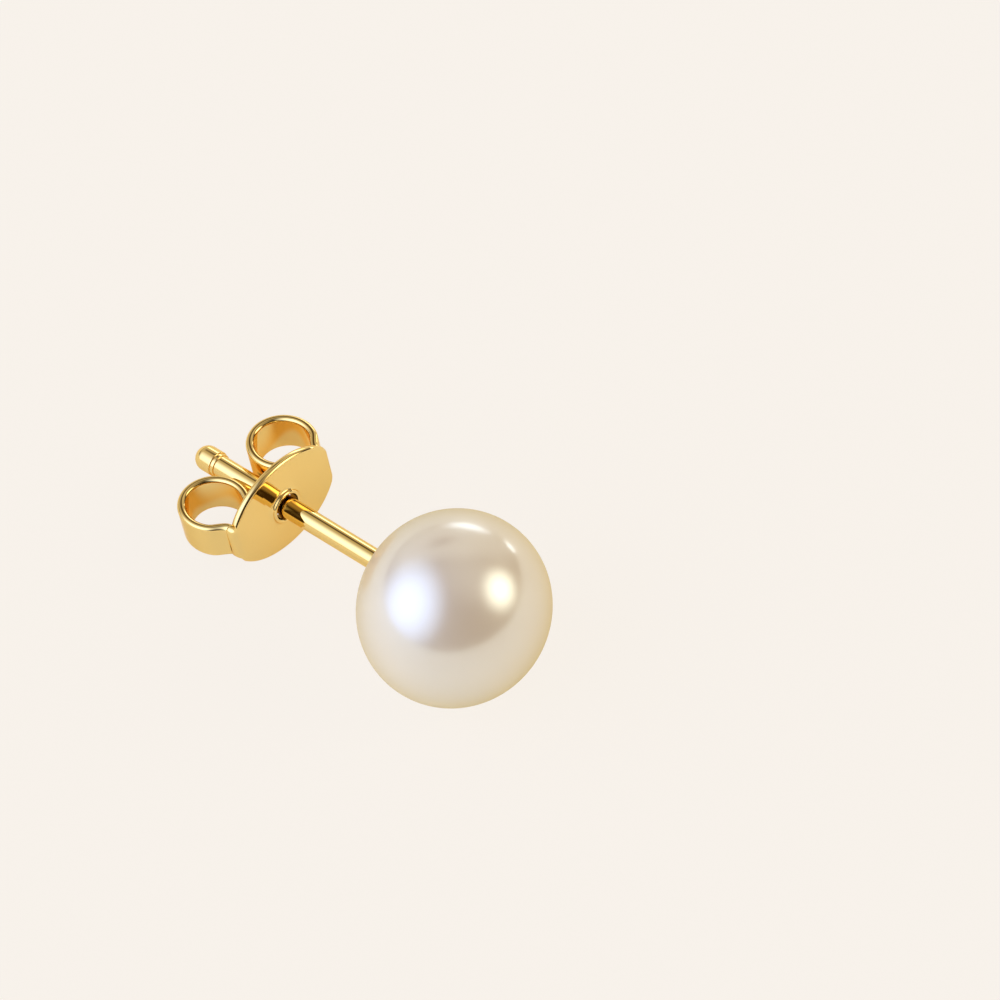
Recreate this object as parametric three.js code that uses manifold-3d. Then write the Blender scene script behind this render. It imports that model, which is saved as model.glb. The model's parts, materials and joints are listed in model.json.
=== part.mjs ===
// A pearl stud earring, lying unworn: a pearl on a gold post with a butterfly back.
// Millimetres, +Z up. X runs along the post from the pearl to its tip, as far as the tilt lets it.
// It rests on the pearl and on the lower rim of the back's plate, with the origin under its middle.

import * as THREE from "three";
import { ParametricGeometry } from "three/addons/geometries/ParametricGeometry.js";
import { mergeVertices, toCreasedNormals } from "three/addons/utils/BufferGeometryUtils.js";
import Module from "manifold-3d";

const wasm = await Module();
wasm.setup();

// Pearl: near round, a little flattened along the post, and drilled half way for the peg
const pearlWidth = 8.0;
const pearlLength = 7.6;

// Post: a straight wire with a thinner glued peg in the pearl, a fine ring and a rounded, thicker tip
const wireDiameter = 0.9;
const pegStep = 0.1;
const pegLength = 3.1;
const postLength = 10.63;
const tipStep = 0.1;
const tipLength = 1.12;
const ringStep = 0.05;
const ringLength = 0.17;
const shoulderLength = 0.05;

// Butterfly back: one stamped strip, an oval plate whose narrow ends fold back and curl into scrolls
const sheet = 0.35;
const rimRadius = 0.15;
const plateWidth = 5.88;
const plateHeight = 4.46;
const stripHeight = 1.7;
const shoulderFillet = 0.1;
const foldInside = 0.03;
const scrollsWidth = 6.94;
const scrollDepth = 3.2;
const collarWall = 0.17;
const collarHeight = 0.18;

// How a scroll runs, in radians: how far the fold turns past straight back, where on the scroll's
// oval its root joins, and how far its cut end curls on past the post
const foldPast = 0.26;
const rootAngle = 2.3;
const endCurl = 0.8;

// How far the tip stands out behind the scrolls, which leaves the ear lobe its room
const tipOut = 1.46;

// Clearances: glued peg and hole, room below the peg, post's shoulder on the pearl, back over the tip
const drillGap = 0.05;
const glueRoom = 0.28;
const seatGap = 0.02;
const slideGap = 0.04;

// Faceting: sides round a circle and steps along a curve
const pearlSides = 44;
const pearlRings = 22;
const wireSides = 28;
const tipRings = 8;
const rimSteps = 3;
const plateSteps = 22;
const foldSteps = 6;
const rootSteps = 5;
const scrollSteps = 28;

const pearlMaterial = new THREE.MeshStandardMaterial({
  color: 0xe9dccb,
  roughness: 0.22,
  metalness: 0,
});
const goldMaterial = new THREE.MeshStandardMaterial({
  color: 0xe3b75e,
  roughness: 0.12,
  metalness: 1,
});

// Points along an arc of an ellipse, in radians from the first axis.
function arcPoints(centreX, centreY, radiusX, radiusY, from, to, steps) {
  const points = [];
  for (let i = 0; i <= steps; i += 1) {
    const angle = from + ((to - from) * i) / steps;
    const x = centreX + radiusX * Math.cos(angle);
    const y = centreY + radiusY * Math.sin(angle);
    points.push(new THREE.Vector2(x, y));
  }
  return points;
}

// A turned piece: the profile holds radius and place along the post, which is the X axis.
function turned(profile, sides) {
  return new THREE.LatheGeometry(profile, sides).rotateZ(-Math.PI / 2);
}

function solidOf(geometry) {
  geometry.deleteAttribute("normal");
  geometry.deleteAttribute("uv");
  const merged = mergeVertices(geometry, 1e-4);
  const vertProperties = merged.attributes.position.array;
  const triVerts = new Uint32Array(merged.index.array);
  return new wasm.Manifold(new wasm.Mesh({ numProp: 3, vertProperties, triVerts }));
}

function geometryOf(solid) {
  const mesh = solid.getMesh();
  const geometry = new THREE.BufferGeometry();
  geometry.setAttribute("position", new THREE.BufferAttribute(mesh.vertProperties, 3));
  geometry.setIndex(new THREE.BufferAttribute(mesh.triVerts, 1));
  return toCreasedNormals(geometry, Math.PI / 6);
}

// Pearl

const pegRadius = wireDiameter / 2 - pegStep;
const drillRadius = pegRadius + drillGap;
const mouthAngle = Math.acos(drillRadius / (pearlWidth / 2));
const mouthPlace = (pearlLength / 2) * Math.sin(mouthAngle);

function pearlGeometry() {
  const radius = pearlWidth / 2;
  const skin = arcPoints(0, 0, radius, pearlLength / 2, -Math.PI / 2, mouthAngle, pearlRings);
  skin[0].x = 0;
  const drillEnd = mouthPlace + seatGap - pegLength - glueRoom;
  const drill = [new THREE.Vector2(drillRadius, drillEnd), new THREE.Vector2(0, drillEnd)];
  return turned([...skin, ...drill], pearlSides);
}

// Post

const tipRadius = wireDiameter / 2 + tipStep;
const tipEnd = pearlLength / 2 + postLength;

function postGeometry() {
  const wire = wireDiameter / 2;
  const shoulder = mouthPlace + seatGap;
  const tipStart = tipEnd - tipLength;
  const at = (radius, place) => new THREE.Vector2(radius, place);
  const stepUp = (radius, place, step) => {
    const full = place + shoulderLength;
    return arcPoints(radius, full, step, shoulderLength, -Math.PI / 2, 0, rimSteps);
  };
  const profile = [
    at(0, shoulder - pegLength),
    at(pegRadius, shoulder - pegLength),
    at(pegRadius, shoulder),
    at(wire, shoulder),
    ...stepUp(wire, tipStart - ringLength, ringStep),
    ...stepUp(wire + ringStep, tipStart, tipStep - ringStep),
    ...arcPoints(0, tipEnd - tipRadius, tipRadius, tipRadius, 0, Math.PI / 2, tipRings),
  ];
  profile[profile.length - 1].x = 0;
  return turned(profile, wireSides);
}

// Butterfly back, in its own frame: X runs back from the plate's ear side, Y out along the strip

const holeRadius = tipRadius + slideGap;
const rim = Math.min(rimRadius, 0.48 * sheet);

// The middle line of half the strip, from the plate's middle to the cut end of its scroll
function stripRuns() {
  const middle = sheet / 2;
  const foldRadius = foldInside + middle;
  const foldX = middle + foldRadius;
  const foldY = plateWidth / 2 - foldX;
  const outside = scrollsWidth / 2 - middle;
  const inside = holeRadius + middle;
  const scrollX = sheet + scrollDepth / 2;
  const scrollY = (outside + inside) / 2;
  const oval = [scrollDepth / 2 - middle, (outside - inside) / 2];

  const start = new THREE.Vector2(middle, 0);
  const plate = new THREE.LineCurve(start, new THREE.Vector2(middle, foldY));
  const foldEnd = Math.PI / 2 - foldPast;
  const fold = new THREE.ArcCurve(foldX, foldY, foldRadius, Math.PI, foldEnd, true);
  const scrollEnd = -Math.PI / 2 - endCurl;
  const scroll = new THREE.EllipseCurve(scrollX, scrollY, ...oval, rootAngle, scrollEnd, true);
  const from = fold.getPoint(1);
  const to = scroll.getPoint(0);
  const reach = from.distanceTo(to) / 3;
  const leave = fold.getTangent(1).multiplyScalar(reach).add(from);
  const arrive = scroll.getTangent(0).multiplyScalar(-reach).add(to);
  const root = new THREE.CubicBezierCurve(from, leave, arrive, to);
  return [
    { run: plate, steps: plateSteps, onPlate: true },
    { run: fold, steps: foldSteps, onPlate: true },
    { run: root, steps: rootSteps, onPlate: false },
    { run: scroll, steps: scrollSteps, onPlate: false },
  ];
}

// Half the plate's height at a place along the strip: its oval, eased into the narrow ends
function halfPlateAt(y) {
  const oval = (plateHeight / 2) * Math.sqrt(Math.max(0, 1 - (2 * y / plateWidth) ** 2));
  const narrow = stripHeight / 2;
  return (oval + narrow + Math.hypot(oval - narrow, shoulderFillet)) / 2;
}

// Stations along half the strip: place, heading, half height and how much its outline slants
function halfStations() {
  const found = [];
  const nudge = 0.001;
  for (const { run, steps, onPlate } of stripRuns()) {
    for (let i = found.length ? 1 : 0; i <= steps; i += 1) {
      const place = run.getPoint(i / steps);
      const heading = run.getTangent(i / steps);
      const halfHeight = onPlate ? halfPlateAt(place.y) : stripHeight / 2;
      const slope = onPlate ? (halfPlateAt(place.y + nudge) - halfHeight) / nudge : 0;
      found.push({ place, heading, halfHeight, slant: Math.hypot(1, slope * heading.y) });
    }
  }
  return found;
}

// The strip's section at a station, a flat bar with round rims; share 0 draws it in to a point
function sectionRing({ place, heading, halfHeight, slant }, share = 1) {
  const ring = [];
  const rimHeight = Math.min(rim * slant, halfHeight);
  for (const [corner, earward, up] of [[0, 1, 1], [1, -1, 1], [2, -1, -1], [3, 1, -1]]) {
    for (let i = 0; i <= rimSteps; i += 1) {
      const angle = ((corner + i / rimSteps) * Math.PI) / 2;
      const out = share * (earward * (sheet / 2 - rim) + rim * Math.cos(angle));
      const z = share * (up * (halfHeight - rimHeight) + rimHeight * Math.sin(angle));
      ring.push(new THREE.Vector3(place.x - out * heading.y, place.y + out * heading.x, z));
    }
  }
  return ring;
}

// The whole strip, lofted through its stations from one cut end to the other
function stripSolid() {
  const half = halfStations();
  const mirrored = half.slice(1).reverse().map((station) => ({
    ...station,
    place: new THREE.Vector2(station.place.x, -station.place.y),
    heading: new THREE.Vector2(-station.heading.x, station.heading.y),
  }));
  const all = [...mirrored, ...half];
  const ends = [sectionRing(all[0], 0), sectionRing(all[all.length - 1], 0)];
  const rings = [ends[0], ...all.map((station) => sectionRing(station)), ends[1]];
  const sides = rings[0].length;
  const surface = (u, v, target) => {
    const ring = rings[Math.round(v * (rings.length - 1))];
    target.copy(ring[Math.round(u * sides) % sides]);
  };
  return solidOf(new ParametricGeometry(surface, sides, rings.length - 1));
}

// The raised lip that the punch leaves round the hole, on the ear side
function collarSolid() {
  const lip = collarWall / 2;
  const middle = holeRadius + lip;
  const back = sheet - rim / 2;
  const round = arcPoints(middle, lip - collarHeight, lip, lip, -Math.PI, 0, 2 * rimSteps);
  const foot = [
    new THREE.Vector2(holeRadius + collarWall, back),
    new THREE.Vector2(holeRadius, back),
  ];
  return solidOf(turned([...round, ...foot, round[0]], wireSides));
}

function backGeometry() {
  const reach = 2 * (sheet + collarHeight);
  const punch = new THREE.CylinderGeometry(holeRadius, holeRadius, reach, wireSides);
  const hole = solidOf(punch.rotateZ(-Math.PI / 2));
  return geometryOf(stripSolid().add(collarSolid()).subtract(hole));
}

const platePlace = tipEnd - tipOut - scrollDepth - sheet;

// The tilt at which the pearl and the plate's lower rim both touch the surface
function restTilt() {
  const rimX = platePlace + sheet - rim;
  const rimZ = plateHeight / 2 - rim;
  let tilt = 0;
  for (let i = 0; i < 40; i += 1) {
    const reach = Math.hypot((pearlLength / 2) * Math.sin(tilt), (pearlWidth / 2) * Math.cos(tilt));
    tilt = Math.asin((reach - rim - rimZ * Math.cos(tilt)) / rimX);
  }
  return tilt;
}

function namedMesh(name, geometry, material) {
  const mesh = new THREE.Mesh(geometry, material);
  mesh.name = name;
  return mesh;
}

const stud = new THREE.Group();
stud.add(namedMesh("pearl", pearlGeometry(), pearlMaterial));
stud.add(namedMesh("post", postGeometry(), goldMaterial));

const back = namedMesh("butterfly_back", backGeometry(), goldMaterial);
back.position.x = platePlace;

const earring = new THREE.Group();
earring.add(stud, back);
earring.rotation.y = restTilt();

const box = new THREE.Box3().setFromObject(earring, true);
const middle = box.getCenter(new THREE.Vector3());
earring.position.set(-middle.x, -middle.y, -box.min.z);

const part = new THREE.Group();
part.add(earring);

export default part;
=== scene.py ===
# Pearl stud earring, lying unworn on a pale table.
# Each piece is modelled in millimetres along its own post, X from the pearl's centre to the tip,
# and is then laid down: tilted until the pearl and the back's plate both touch the table.

import json
import math

import bmesh
import bpy
from mathutils import Matrix, Vector
from mathutils.geometry import interpolate_bezier


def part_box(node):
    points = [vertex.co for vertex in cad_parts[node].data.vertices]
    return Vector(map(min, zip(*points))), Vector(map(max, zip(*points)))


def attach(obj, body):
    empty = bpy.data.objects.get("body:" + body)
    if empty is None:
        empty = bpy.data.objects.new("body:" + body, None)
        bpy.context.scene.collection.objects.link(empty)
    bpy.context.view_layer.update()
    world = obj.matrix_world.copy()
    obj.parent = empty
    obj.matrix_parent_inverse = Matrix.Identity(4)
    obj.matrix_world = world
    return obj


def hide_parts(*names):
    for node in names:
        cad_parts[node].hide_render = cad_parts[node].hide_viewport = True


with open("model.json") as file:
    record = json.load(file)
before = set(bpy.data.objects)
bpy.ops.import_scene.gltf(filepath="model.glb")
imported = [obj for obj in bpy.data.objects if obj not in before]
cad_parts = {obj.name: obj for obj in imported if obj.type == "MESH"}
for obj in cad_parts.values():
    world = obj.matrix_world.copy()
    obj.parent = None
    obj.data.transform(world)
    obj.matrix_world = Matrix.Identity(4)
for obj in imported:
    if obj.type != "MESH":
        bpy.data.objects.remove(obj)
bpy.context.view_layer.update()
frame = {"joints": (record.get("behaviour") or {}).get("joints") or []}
print("frame loaded")

mm = 0.001
postAxis = Vector(frame["joints"][0]["axis"]).normalized()
pearlLow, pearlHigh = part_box("pearl")
pearlCentre = (pearlLow + pearlHigh) / 2
lieTilt = math.atan2(-postAxis.z, postAxis.x)
layDown = Matrix.Translation(pearlCentre) @ Matrix.Rotation(lieTilt, 4, "Y") @ Matrix.Scale(mm, 4)


def direction(azimuth, elevation):
    # a unit vector towards a compass angle and a height above the table, in degrees
    around, above = math.radians(azimuth), math.radians(elevation)
    level = math.cos(above)
    return Vector((level * math.cos(around), level * math.sin(around), math.sin(above)))


# Camera
cameraView = {
    "azimuth": 131.6,      # where it stands round the earring, and how high
    "elevation": 55.85,
    "roll": -0.22,
    "distance": 166.4,     # to the pearl's centre, along the view
    "pearlRight": -1.805,  # where the pearl's centre lies off the middle of the picture
    "pearlDown": 4.283,
    "lens": 151.5,
    "sensor": 36.0,
}


def makeCamera(view):
    data = bpy.data.cameras.new("camera")
    data.lens = view["lens"]
    data.sensor_width = view["sensor"]
    data.clip_start = 0.01
    data.clip_end = 20.0
    camera = bpy.data.objects.new("camera", data)
    bpy.context.scene.collection.objects.link(camera)
    back = direction(view["azimuth"], view["elevation"])
    turned = (-back).to_track_quat("-Z", "Y").to_matrix()
    turned = turned @ Matrix.Rotation(math.radians(view["roll"]), 3, "Z")
    right, up, back = turned.col
    aside = up * view["pearlDown"] - right * view["pearlRight"]
    stand = pearlCentre + (back * view["distance"] + aside) * mm
    camera.matrix_world = Matrix.Translation(stand) @ turned.to_4x4()
    bpy.context.scene.camera = camera


makeCamera(cameraView)
print("camera placed")


# Node wiring shared by the world and the materials
def addNode(tree, kind, settings=None, inputs=None):
    node = tree.nodes.new(kind)
    for name, value in (settings or {}).items():
        setattr(node, name, value)
    for name, value in (inputs or {}).items():
        if isinstance(value, bpy.types.NodeSocket):
            tree.links.new(value, node.inputs[name])
        else:
            node.inputs[name].default_value = value
    return node


def calculate(tree, operation, first, second=0.0):
    return addNode(tree, "ShaderNodeMath", {"operation": operation}, {0: first, 1: second}).outputs[0]


def combine(tree, operation, first, second, third=None):
    inputs = {0: first, 1: second}
    if third is not None:
        inputs[2] = third
    node = addNode(tree, "ShaderNodeVectorMath", {"operation": operation}, inputs)
    single = operation in ("DOT_PRODUCT", "DISTANCE")
    return node.outputs["Value" if single else "Vector"]


def smoothRange(tree, value, low, high):
    settings = {"interpolation_type": "SMOOTHSTEP"}
    inputs = {"Value": value, "From Min": low, "From Max": high}
    return addNode(tree, "ShaderNodeMapRange", settings, inputs).outputs["Result"]


def newGroup(name, inputs, outputs):
    tree = bpy.data.node_groups.new(name, "ShaderNodeTree")
    for label, kind, value in inputs:
        socket = tree.interface.new_socket(label, in_out="INPUT", socket_type=kind)
        if value is not None:
            socket.default_value = value
    for label, kind in outputs:
        tree.interface.new_socket(label, in_out="OUTPUT", socket_type=kind)
    return tree, tree.nodes.new("NodeGroupInput").outputs, tree.nodes.new("NodeGroupOutput").inputs


# Studio: a pale table in a dim room, lit by soft boxes
studio = {
    "tableColor": (0.947, 0.896, 0.831),
    "tableCast": (0.96, 0.915, 0.80),    # its colour in the light it throws back
    "tableGlow": 0.265,       # the part of that light that no shadow takes away
    "tableAlbedo": 0.88,
    "tableShadow": 0.06,     # how much of the table's own shading the camera sees
    "tableReach": 1.5,
    "bounceColor": (0.97, 0.66, 0.23),   # the gold's own light on the table under the back
    "bounceMiddle": (6.3, 0.0, 0.0),
    "bounceReach": (2.9, 3.9, 1.0),      # in millimetres, as the places are
    "loopLight": (6.15, 1.85, 0.0),      # where light falls through each scroll
    "loopLightReach": 1.0,
    "roomColor": (0.05, 0.036, 0.024),
    "horizon": 5.0,          # the table's pale sweep ends this far above level, degrees
    "horizonBlur": 3.0,
}
# Each soft box: where it stands, how far it spans to each side in degrees, how soft its edge is
softBoxes = {
    "window": dict(azimuth=61, elevation=35, wide=54, high=51, turn=-10, edge=1.0,
                   color=(0.60, 0.69, 1.0), strength=3.4),
    "lamp": dict(azimuth=-141, elevation=32, wide=28, high=27, turn=0, edge=1.0,
                 color=(1.0, 0.90, 0.74), strength=5.3),
    "wall": dict(azimuth=-45, elevation=32, wide=62, high=40, turn=0, edge=0.6,
                 color=(0.97, 0.91, 0.82), strength=0.62),
    "flag": dict(azimuth=-35, elevation=38, wide=19, high=12, turn=0, edge=1.0,
                 color=(0.97, 0.93, 0.86), strength=-0.62),
    "strip": dict(azimuth=-58, elevation=12, wide=21, high=10, turn=0, edge=0.9,
                  color=(0.93, 0.98, 1.14), strength=3.4),
    "glint": dict(azimuth=-90, elevation=4, wide=8, high=4, turn=0, edge=0.8,
                  color=(1.0, 1.0, 1.06), strength=5.6, low=True),
    "ceiling": dict(azimuth=-120, elevation=72, wide=45, high=35, turn=0, edge=0.9,
                    color=(1.0, 0.93, 0.85), strength=0.40),
}


def softBoxGroup():
    # how brightly an oval panel with a soft edge shines in a direction
    tree, given, result = newGroup("softBox", [
        ("Direction", "NodeSocketVector", None),
        ("Middle", "NodeSocketVector", None),
        ("Across", "NodeSocketVector", None),
        ("Upward", "NodeSocketVector", None),
        ("Edge", "NodeSocketFloat", 0.5),
    ], [("Share", "NodeSocketFloat")])
    ahead = combine(tree, "DOT_PRODUCT", given["Direction"], given["Middle"])
    inFront = calculate(tree, "MAXIMUM", ahead, 0.01)
    across = combine(tree, "DOT_PRODUCT", given["Direction"], given["Across"])
    upward = combine(tree, "DOT_PRODUCT", given["Direction"], given["Upward"])
    side = calculate(tree, "DIVIDE", across, inFront)
    height = calculate(tree, "DIVIDE", upward, inFront)
    sideSquared = calculate(tree, "MULTIPLY", side, side)
    heightSquared = calculate(tree, "MULTIPLY", height, height)
    reach = calculate(tree, "SQRT", calculate(tree, "ADD", sideSquared, heightSquared))
    inner = calculate(tree, "SUBTRACT", 1.0, given["Edge"])
    share = smoothRange(tree, reach, 1.0, inner)
    tree.links.new(share, result["Share"])
    return tree


def makeWorld():
    world = bpy.data.worlds.new("studio")
    world.use_nodes = True
    bpy.context.scene.world = world
    tree = world.node_tree
    tree.nodes.clear()
    toward = addNode(tree, "ShaderNodeTexCoord").outputs["Generated"]
    group = softBoxGroup()
    light = studio["roomColor"]
    lowLight = (0, 0, 0)
    for box in softBoxes.values():
        middle = direction(box["azimuth"], box["elevation"])
        level = Vector((-middle.y, middle.x, 0)).normalized()
        turn = Matrix.Rotation(math.radians(box["turn"]), 3, middle)
        across = turn @ level
        upward = turn @ middle.cross(level)
        node = addNode(tree, "ShaderNodeGroup", {"node_tree": group}, {
            "Direction": toward,
            "Middle": middle,
            "Across": across / math.tan(math.radians(box["wide"])),
            "Upward": upward / math.tan(math.radians(box["high"])),
            "Edge": box["edge"],
        })
        glow = [channel * box["strength"] for channel in box["color"]]
        if box.get("low"):
            lowLight = combine(tree, "MULTIPLY_ADD", node.outputs["Share"], glow, lowLight)
        else:
            light = combine(tree, "MULTIPLY_ADD", node.outputs["Share"], glow, light)
    light = combine(tree, "MAXIMUM", light, studio["roomColor"])
    height = combine(tree, "DOT_PRODUCT", toward, (0, 0, 1))
    sweepStart = math.sin(math.radians(studio["horizon"] - studio["horizonBlur"]))
    sweepEnd = math.sin(math.radians(studio["horizon"] + studio["horizonBlur"]))
    above = smoothRange(tree, height, sweepStart, sweepEnd)
    rise = combine(tree, "SUBTRACT", light, studio["tableColor"])
    swept = combine(tree, "MULTIPLY_ADD", above, rise, studio["tableColor"])
    whole = combine(tree, "ADD", swept, lowLight)
    room = addNode(tree, "ShaderNodeBackground", inputs={"Color": whole})
    plain = addNode(tree, "ShaderNodeBackground", inputs={"Color": [*studio["tableColor"], 1]})
    path = addNode(tree, "ShaderNodeLightPath")
    mixed = addNode(tree, "ShaderNodeMixShader", inputs={
        0: path.outputs["Is Camera Ray"], 1: room.outputs[0], 2: plain.outputs[0]})
    output = addNode(tree, "ShaderNodeOutputWorld")
    tree.links.new(mixed.outputs[0], output.inputs["Surface"])


def makeTable():
    shape = bmesh.new()
    bmesh.ops.create_circle(shape, cap_ends=True, segments=96, radius=studio["tableReach"])
    mesh = bpy.data.meshes.new("table")
    shape.to_mesh(mesh)
    shape.free()
    table = bpy.data.objects.new("table", mesh)
    bpy.context.scene.collection.objects.link(table)
    material = bpy.data.materials.new("pale table")
    material.use_nodes = True
    tree = material.node_tree
    tree.nodes.clear()
    color = Vector(studio["tableColor"])
    place = addNode(tree, "ShaderNodeTexCoord").outputs["Object"]
    away = combine(tree, "SUBTRACT", place, Vector(studio["bounceMiddle"]) * mm)
    reach = [1 / (side * mm) for side in studio["bounceReach"]]
    oval = combine(tree, "DISTANCE", combine(tree, "MULTIPLY", away, reach), (0, 0, 0))
    mirrored = combine(tree, "ABSOLUTE", place, (0, 0, 0))
    spot = combine(tree, "DISTANCE", mirrored, Vector(studio["loopLight"]) * mm)
    spotEdge = studio["loopLightReach"] * mm
    shade = smoothRange(tree, spot, spotEdge / 2, spotEdge)
    bounced = calculate(tree, "MULTIPLY", smoothRange(tree, oval, 1.0, 0.5), shade)
    turn = Vector(studio["bounceColor"]) - Vector(studio["tableCast"])
    warmed = combine(tree, "MULTIPLY_ADD", bounced, turn, studio["tableCast"])
    lit = addNode(tree, "ShaderNodeBsdfDiffuse", inputs={
        "Color": combine(tree, "MULTIPLY", warmed, [studio["tableAlbedo"]] * 3)})
    glow = addNode(tree, "ShaderNodeEmission", inputs={
        "Color": warmed, "Strength": studio["tableGlow"]})
    real = addNode(tree, "ShaderNodeAddShader", inputs={0: lit.outputs[0], 1: glow.outputs[0]})
    clean = addNode(tree, "ShaderNodeEmission", inputs={"Color": [*color, 1]})
    shaded = addNode(tree, "ShaderNodeBsdfDiffuse", inputs={"Color": [*color, 1]})
    seen = addNode(tree, "ShaderNodeMixShader", inputs={
        0: studio["tableShadow"], 1: clean.outputs[0], 2: shaded.outputs[0]})
    path = addNode(tree, "ShaderNodeLightPath")
    mixed = addNode(tree, "ShaderNodeMixShader", inputs={
        0: path.outputs["Is Camera Ray"], 1: real.outputs[0], 2: seen.outputs[0]})
    output = addNode(tree, "ShaderNodeOutputMaterial")
    tree.links.new(mixed.outputs[0], output.inputs["Surface"])
    mesh.materials.append(material)


bpy.context.scene.view_settings.view_transform = "Standard"
makeWorld()
makeTable()
print("studio lit")


# Shared work on pieces
def finishPiece(shape, name, node, body, material):
    # lays the bmesh down where its CAD node is and makes it the piece that shows
    bmesh.ops.recalc_face_normals(shape, faces=shape.faces)
    bmesh.ops.transform(shape, matrix=layDown, verts=shape.verts)
    for face in shape.faces:
        face.smooth = True
    mesh = bpy.data.meshes.new(name)
    shape.to_mesh(mesh)
    shape.free()
    piece = bpy.data.objects.new(name, mesh)
    bpy.context.scene.collection.objects.link(piece)
    mesh.materials.append(material)
    steady = piece.modifiers.new("even shading", "WEIGHTED_NORMAL")
    steady.mode = "FACE_AREA"
    steady.weight = 100
    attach(piece, body)
    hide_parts(node)
    return piece


def turnedShape(profile, steps):
    # spins a line of (place along the post, radius) points round the post
    shape = bmesh.new()
    points = [shape.verts.new((place, 0, radius)) for place, radius in profile]
    edges = [shape.edges.new(pair) for pair in zip(points, points[1:])]
    bmesh.ops.spin(shape, geom=points + edges, cent=(0, 0, 0), axis=(1, 0, 0),
                   angle=math.tau, steps=steps, use_merge=True)
    bmesh.ops.remove_doubles(shape, verts=shape.verts, dist=1e-5)
    return shape


def arc(centre, radii, start, end, steps):
    # points (place, radius) along an oval arc, angles from the post's direction
    found = []
    for step in range(steps + 1):
        angle = start + (end - start) * step / steps
        found.append((centre[0] + radii[0] * math.cos(angle), centre[1] + radii[1] * math.sin(angle)))
    return found


# Materials
goldLook = {
    "color": (0.88, 0.63, 0.225),
    "edgeColor": (1.0, 0.86, 0.60),
    "roughness": 0.02,
    "patchSize": 0.9,        # slow wander of the polish, mm
    "patchRoughness": 0.03,
    "patchRange": (0.35, 0.75),
    "waveHeight": 0.0012,    # faint unevenness of the pressed sheet, mm
    "waveSize": 0.7,
    "gap": (0.56, 0.585, 0.62),   # the deep shadow between wire and hole, by distance from the axis
    "gapShadow": 0.85,
}
pearlLook = {
    "color": (0.90, 0.70, 0.465),
    "bodyRoughness": 0.5,
    "gloss": 0.17,           # share of light the nacre's top layers mirror back, and the deeper ones
    "glossRoughness": 0.16,
    "sheen": 0.17,
    "sheenRoughness": 0.40,
    "sheenColor": (0.88, 1.0, 0.98),
    # painted shade at the outline: the mirrored light's tint turns darker and yellower there, and the body
    # colour darker and tan, as the surface turns away
    "sheenLimbShadeColor": (0.82, 0.80, 0.56),
    "limbShadeColor": (0.75, 0.575, 0.33),
    "limbRange": (0.25, 1.0),
    "grainSize": 0.16,       # the nacre's fine grain, mm
    "grainHeight": 0.0006,
}


def fineBumpsGroup():
    # the faint unevenness of a polished surface, its size and height in metres
    tree, given, result = newGroup("fineBumps", [
        ("Size", "NodeSocketFloat", 0.5 * mm),
        ("Height", "NodeSocketFloat", 0.001 * mm),
        ("Detail", "NodeSocketFloat", 2.0),
    ], [("Normal", "NodeSocketVector")])
    noise = addNode(tree, "ShaderNodeTexNoise", inputs={
        "Vector": addNode(tree, "ShaderNodeTexCoord").outputs["Object"],
        "Scale": calculate(tree, "DIVIDE", 1.0, given["Size"]),
        "Detail": given["Detail"]})
    bump = addNode(tree, "ShaderNodeBump", inputs={
        "Height": noise.outputs["Fac"], "Strength": 1.0, "Distance": given["Height"]})
    tree.links.new(bump.outputs["Normal"], result["Normal"])
    return tree


def goldMaterial(look):
    material = bpy.data.materials.new("polished gold")
    material.use_nodes = True
    tree = material.node_tree
    shader = tree.nodes["Principled BSDF"]
    shader.inputs["Specular Tint"].default_value = [*look["edgeColor"], 1]
    shader.inputs["Metallic"].default_value = 1.0
    place = addNode(tree, "ShaderNodeTexCoord").outputs["Object"]
    fromPearl = combine(tree, "SUBTRACT", place, pearlCentre)
    offPost = combine(tree, "DISTANCE", combine(tree, "CROSS_PRODUCT", fromPearl, postAxis), (0, 0, 0))
    inner, wall, outer = [radius * mm for radius in look["gap"]]
    inGap = calculate(tree, "MULTIPLY", smoothRange(tree, offPost, inner, wall),
                      smoothRange(tree, offPost, outer, wall))
    shadow = [-look["gapShadow"] * channel for channel in look["color"]]
    color = combine(tree, "MULTIPLY_ADD", inGap, shadow, look["color"])
    tree.links.new(color, shader.inputs["Base Color"])
    patches = addNode(tree, "ShaderNodeTexNoise", inputs={
        "Vector": place, "Scale": 1 / (look["patchSize"] * mm), "Detail": 3.0})
    low, high = look["patchRange"]
    roughness = addNode(tree, "ShaderNodeMapRange", inputs={
        "Value": patches.outputs["Fac"], "From Min": low, "From Max": high,
        "To Min": look["roughness"], "To Max": look["roughness"] + look["patchRoughness"]})
    tree.links.new(roughness.outputs["Result"], shader.inputs["Roughness"])
    waves = addNode(tree, "ShaderNodeGroup", {"node_tree": fineBumps}, {
        "Size": look["waveSize"] * mm, "Height": look["waveHeight"] * mm, "Detail": 1.0})
    tree.links.new(waves.outputs["Normal"], shader.inputs["Normal"])
    return material


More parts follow.
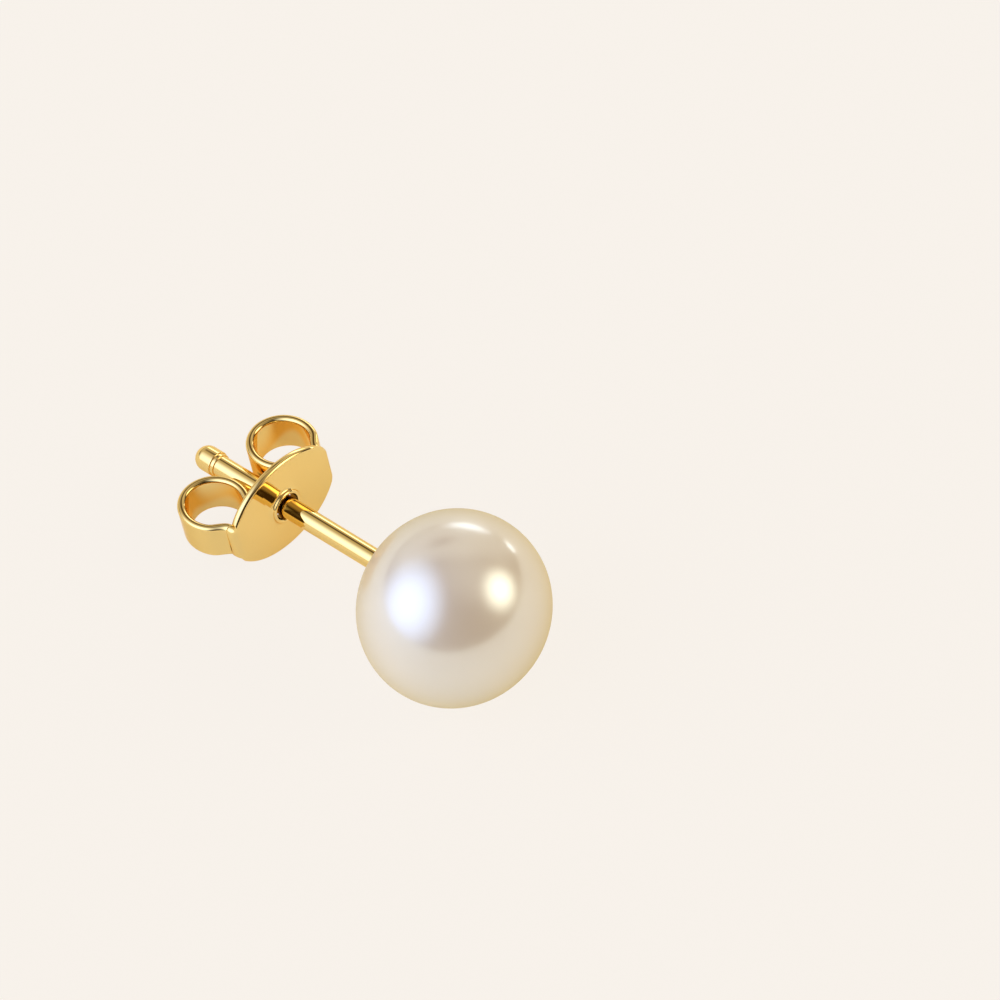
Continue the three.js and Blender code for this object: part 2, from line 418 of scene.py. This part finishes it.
def pearlMaterial(look):
    material = bpy.data.materials.new("cream nacre")
    material.use_nodes = True
    tree = material.node_tree
    grain = addNode(tree, "ShaderNodeGroup", {"node_tree": fineBumps}, {
        "Size": look["grainSize"] * mm, "Height": look["grainHeight"] * mm, "Detail": 3.0})
    body = tree.nodes["Principled BSDF"]
    body.inputs["Roughness"].default_value = look["bodyRoughness"]
    body.inputs["Specular IOR Level"].default_value = 0.0
    # painted shade: toward the pearl's outline the body colour fades to the darker, tan limb colour, and the
    # mirrored light's tint to a darker yellow
    facing = addNode(tree, "ShaderNodeLayerWeight", inputs={"Blend": 0.5}).outputs["Facing"]
    limb = smoothRange(tree, facing, *look["limbRange"])
    turn = Vector(look["limbShadeColor"]) - Vector(look["color"])
    tree.links.new(combine(tree, "MULTIPLY_ADD", limb, turn, look["color"]), body.inputs["Base Color"])
    turn = Vector(look["sheenLimbShadeColor"]) - Vector(look["sheenColor"])
    mirrored = combine(tree, "MULTIPLY_ADD", limb, turn, look["sheenColor"])
    gloss = addNode(tree, "ShaderNodeBsdfAnisotropic", inputs={
        "Color": mirrored, "Roughness": look["glossRoughness"], "Normal": grain.outputs["Normal"]})
    sheen = addNode(tree, "ShaderNodeBsdfAnisotropic", inputs={
        "Color": mirrored, "Roughness": look["sheenRoughness"]})
    deep = addNode(tree, "ShaderNodeMixShader", inputs={
        0: look["sheen"] / (1 - look["gloss"]), 1: body.outputs[0], 2: sheen.outputs[0]})
    nacre = addNode(tree, "ShaderNodeMixShader", inputs={
        0: look["gloss"], 1: deep.outputs[0], 2: gloss.outputs[0]})
    output = tree.nodes["Material Output"]
    tree.links.new(nacre.outputs[0], output.inputs["Surface"])
    return material


fineBumps = fineBumpsGroup()
gold = goldMaterial(goldLook)
nacre = pearlMaterial(pearlLook)


# Pearl
pearlSizes = {
    "width": 8.0,
    "length": 7.6,
    "drillRadius": 0.40,
    "drillDepth": 3.36,
    "mouthEase": 0.05,
    "rings": 72,
    "sides": 144,
}


def makePearl(sizes):
    radii = (sizes["length"] / 2, sizes["width"] / 2)
    mouth = math.asin((sizes["drillRadius"] + sizes["mouthEase"]) / radii[1])
    skin = arc((0, 0), radii, math.pi, mouth, sizes["rings"])
    skin[0] = (skin[0][0], 0)
    lip = skin[-1][0]
    drillEnd = lip - sizes["drillDepth"]
    wall = sizes["drillRadius"]
    drill = [(lip - sizes["mouthEase"], wall), (drillEnd, wall), (drillEnd, 0)]
    shape = turnedShape(skin + drill, sizes["sides"])
    return finishPiece(shape, "round_pearl", "pearl", "stud", nacre)


makePearl(pearlSizes)
print("pearl made")


# Post
postSizes = {
    "wire": 0.45,
    "peg": 0.35,
    "pegEnd": 0.70,
    "shoulder": 3.80,
    "tipEnd": 14.43,
    "tipRadius": 0.55,
    "tipLength": 1.12,
    "ringStep": 0.05,
    "ringLength": 0.17,
    "shoulderLength": 0.05,
    "ease": 0.03,            # the rounded edge where the wire leaves the pearl
    "support": 0.02,         # extra rings beside each step, which keep the shading straight
    "stepRings": 6,
    "tipRings": 16,
    "sides": 96,
}


def makePost(sizes):
    wire, tip = sizes["wire"], sizes["tipRadius"]
    ring = wire + sizes["ringStep"]
    tipStart = sizes["tipEnd"] - sizes["tipLength"]
    ringStart = tipStart - sizes["ringLength"]
    long, ease, support = sizes["shoulderLength"], sizes["ease"], sizes["support"]
    profile = [
        (sizes["pegEnd"], 0),
        (sizes["pegEnd"], sizes["peg"]),
        (sizes["shoulder"], sizes["peg"]),
        (sizes["shoulder"], wire - ease),
        (sizes["shoulder"] + ease, wire),
        (sizes["shoulder"] + ease + support, wire),
        (ringStart - support, wire),
    ]
    steps = sizes["stepRings"]
    profile += arc((ringStart + long, wire), (long, ring - wire), math.pi, math.pi / 2, steps)
    profile += [(tipStart - support, ring)]
    profile += arc((tipStart + long, ring), (long, tip - ring), math.pi, math.pi / 2, steps)
    profile += [(tipStart + long + support, tip)]
    profile += arc((sizes["tipEnd"] - tip, 0), (tip, tip), math.pi / 2, 0, sizes["tipRings"])
    profile[-1] = (sizes["tipEnd"], 0)
    shape = turnedShape(profile, sizes["sides"])
    return finishPiece(shape, "gold_post", "post", "stud", gold)


makePost(postSizes)
print("post made")


# Butterfly back
backSizes = {
    "plateFace": 9.42,       # where the plate's ear side stands on the post
    "sheet": 0.35,
    "rim": 0.15,
    "plateWidth": 5.88,
    "plateHeight": 4.46,
    "stripHeight": 1.7,
    "shoulderFillet": 0.10,
    "foldInside": 0.03,
    "foldPast": 0.26,        # the fold turns this far past straight back, radians
    "rootAngle": 2.30,       # where on the scroll's oval its root joins
    "endCurl": 0.80,         # how far the cut end curls on past the post
    "scrollsWidth": 6.94,
    "scrollDepth": 3.2,
    "crown": 0.20,           # how far the fold is drawn in at its upper and lower rims
    "crownFade": 0.9,        # over this much of the root it fades out again
    "endEase": 0.06,
    "holeRadius": 0.59,
    "collarWall": 0.17,
    "collarHeight": 0.18,
    "collarFlare": 0.22,
    "plateSteps": 36,        # how finely each run of the strip and the collar are drawn
    "foldSteps": 12,
    "rootSteps": 14,
    "scrollSteps": 72,
    "endSteps": 5,
    "rimSteps": 8,
    "lipSteps": 12,
    "flareSteps": 10,
    "holeSides": 96,
    "support": 0.03,         # how far from each rim the flat sides are held flat
    "overlap": 0.05,         # how deep the collar's inside is set into the hole's wall
    "skin": 0.004,           # how far the collar stands through the sheet, to join cleanly
    "punch": (-0.3, 0.8),
}


def foldPlace(sizes):
    # the fold's bend radius on the middle line, and its centre
    middle = sizes["sheet"] / 2
    bend = sizes["foldInside"] + middle
    return bend, middle + bend, sizes["plateWidth"] / 2 - middle - bend


def stripLine(sizes):
    # the middle line of half the strip: plate, fold, root and scroll, each point marked as plate or not
    middle = sizes["sheet"] / 2
    bend, foldX, foldY = foldPlace(sizes)
    outside = sizes["scrollsWidth"] / 2 - middle
    inside = sizes["holeRadius"] + middle
    oval = (sizes["scrollDepth"] / 2 - middle, (outside - inside) / 2)
    scrollX, scrollY = sizes["sheet"] + sizes["scrollDepth"] / 2, (outside + inside) / 2
    plateSteps = sizes["plateSteps"]
    plate = [(middle, foldY * math.sin(math.pi / 2 * step / plateSteps)) for step in range(plateSteps)]
    foldEnd = math.pi / 2 - sizes["foldPast"]
    fold = arc((foldX, foldY), (bend, bend), math.pi, foldEnd, sizes["foldSteps"])
    scrollEnd = -math.pi / 2 - sizes["endCurl"]
    scroll = arc((scrollX, scrollY), oval, sizes["rootAngle"], scrollEnd, sizes["scrollSteps"])
    start, end = Vector((*fold[-1], 0)), Vector((*scroll[0], 0))
    reach = (end - start).length / 3
    leave = start + reach * Vector((math.sin(foldEnd), -math.cos(foldEnd), 0))
    heading = (Vector((*scroll[1], 0)) - end).normalized()
    root = interpolate_bezier(start, leave, end - reach * heading, end, sizes["rootSteps"])[1:-1]
    onPlate = [Vector((*point, 0)) for point in plate + fold]
    offPlate = root + [Vector((*point, 0)) for point in scroll]
    return [(point, True) for point in onPlate] + [(point, False) for point in offPlate]


def halfPlateAt(y, sizes):
    # half the plate's height at a place along the strip: its oval, eased into the narrow ends
    oval = sizes["plateHeight"] / 2 * math.sqrt(max(0, 1 - (2 * y / sizes["plateWidth"]) ** 2))
    narrow = sizes["stripHeight"] / 2
    return (oval + narrow + math.hypot(oval - narrow, sizes["shoulderFillet"])) / 2


def crownAt(place, onPlate, sizes):
    # how far the strip's rims are drawn in at a place, which rounds the plate's ends
    bend, foldX, foldY = foldPlace(sizes)
    if onPlate:
        return sizes["crown"] * min(max((place.y - foldY) / bend, 0), 1)
    share = 1 - min(max((place.x - foldX) / sizes["crownFade"], 0), 1)
    return sizes["crown"] * share * share * (3 - 2 * share)


def sectionPoints(place, heading, halfHeight, slant, inset, crown, sizes):
    # the flat bar's section at one place, with round rims and supports beside them
    steps = sizes["rimSteps"]
    thin = sizes["sheet"] / 2 - inset
    tall = halfHeight - inset
    rim = sizes["rim"] - inset
    rimTall = min(rim * slant, tall)
    beside = tall - rimTall - sizes["support"]
    across = Vector((-heading.y, heading.x, 0))
    points = []
    for quarter, earward, upward in ((0, 1, 1), (1, -1, 1), (2, -1, -1), (3, 1, -1)):
        corner = []
        for step in range(steps + 1):
            angle = (quarter + step / steps) * math.pi / 2
            corner.append((earward * (thin - rim) + rim * math.cos(angle),
                           upward * (tall - rimTall) + rimTall * math.sin(angle)))
        flat = (earward * thin, upward * beside)
        points += [flat] + corner if quarter % 2 == 0 else corner + [flat]
    inward = -math.copysign(crown, place.y) / halfHeight ** 2
    return [place + across * out + Vector((0, inward * height ** 2, height)) for out, height in points]


def stripStations(sizes):
    line = stripLine(sizes)
    places = [point for point, onPlate in line]
    half = []
    for i, (place, onPlate) in enumerate(line):
        before = places[i - 1] if i else Vector((place.x, -places[1].y, 0))
        after = places[min(i + 1, len(places) - 1)]
        heading = (after - before).normalized()
        halfHeight = halfPlateAt(place.y, sizes) if onPlate else sizes["stripHeight"] / 2
        slope = (halfPlateAt(place.y + 0.001, sizes) - halfHeight) * 1000 if onPlate else 0
        slant = math.hypot(1, slope * heading.y)
        half.append((place, heading, halfHeight, slant, 0, crownAt(place, onPlate, sizes)))
    place, heading, halfHeight, slant, inset, crown = half[-1]
    for step in range(1, sizes["endSteps"] + 1):
        angle = math.pi / 2 * step / sizes["endSteps"]
        onward = place + heading * sizes["endEase"] * math.sin(angle)
        inset = sizes["endEase"] * (1 - math.cos(angle))
        half.append((onward, heading, halfHeight, slant, inset, crown))
    mirrored = []
    for place, heading, *rest in reversed(half[1:]):
        there = Vector((place.x, -place.y, 0))
        mirrored.append((there, Vector((-heading.x, heading.y, 0)), *rest))
    return mirrored + half


def loftStrip(sizes):
    # one section ring drawn along the whole strip, station by station
    stations = stripStations(sizes)
    shape = bmesh.new()
    ring = [shape.verts.new(point) for point in sectionPoints(*stations[0], sizes)]
    edges = [shape.edges.new(pair) for pair in zip(ring, ring[1:] + ring[:1])]
    bmesh.ops.contextual_create(shape, geom=edges)
    for station in stations[1:]:
        grown = bmesh.ops.extrude_edge_only(shape, edges=edges)["geom"]
        fresh = {item for item in grown if isinstance(item, bmesh.types.BMVert)}
        edges = [item for item in grown if isinstance(item, bmesh.types.BMEdge) and set(item.verts) <= fresh]
        ring = [next(e.other_vert(v) for e in v.link_edges if e.other_vert(v) in fresh) for v in ring]
        for vert, point in zip(ring, sectionPoints(*station, sizes)):
            vert.co = point
    bmesh.ops.contextual_create(shape, geom=edges)
    return shape


def collarShape(sizes):
    # the lip that the punch leaves round the hole, flaring into the plate's ear side
    hole, wall, height = sizes["holeRadius"], sizes["collarWall"], sizes["collarHeight"]
    lip, flare, back = wall / 2, sizes["collarFlare"], sizes["sheet"]
    overlap, skin = sizes["overlap"], sizes["skin"]
    outer = hole + wall
    profile = [(back - overlap, hole)]
    profile += arc((lip - height, hole + lip), (lip, lip), -math.pi / 2, -3 * math.pi / 2, sizes["lipSteps"])
    foot = (height - lip + skin, flare)
    profile += arc((lip - height, outer + flare), foot, -math.pi / 2, 0, sizes["flareSteps"])
    profile += [(back / 2, outer + flare), (back / 2, outer)]
    profile += [(back + skin, outer), (back + skin, hole + overlap)]
    return turnedShape(profile + profile[:1], sizes["holeSides"])


def plainObject(shape, name):
    bmesh.ops.recalc_face_normals(shape, faces=shape.faces)
    mesh = bpy.data.meshes.new(name)
    shape.to_mesh(mesh)
    shape.free()
    thing = bpy.data.objects.new(name, mesh)
    bpy.context.scene.collection.objects.link(thing)
    return thing


def joinShapes(first, second, operation):
    # both bmeshes joined or cut into one closed bmesh
    target, tool = plainObject(first, "target"), plainObject(second, "tool")
    modifier = target.modifiers.new("work", "BOOLEAN")
    modifier.operation = operation
    modifier.solver = "EXACT"
    modifier.object = tool
    worked = target.evaluated_get(bpy.context.evaluated_depsgraph_get())
    result = bmesh.new()
    result.from_mesh(worked.to_mesh())
    for thing in (target, tool):
        bpy.data.objects.remove(thing)
    return result


def makeBack(sizes):
    strip = loftStrip(sizes)
    middle = sizes["holeRadius"] + sizes["collarWall"] / 2
    front, behind = sizes["punch"]
    punch = turnedShape([(front, 0), (front, middle), (behind, middle), (behind, 0)], sizes["holeSides"])
    pierced = joinShapes(strip, punch, "DIFFERENCE")
    shape = joinShapes(pierced, collarShape(sizes), "UNION")
    bmesh.ops.translate(shape, vec=(sizes["plateFace"], 0, 0), verts=shape.verts)
    return finishPiece(shape, "folded_back", "butterfly_back", "back", gold)


back = makeBack(backSizes)
print("back made:", len(back.data.polygons), "faces")
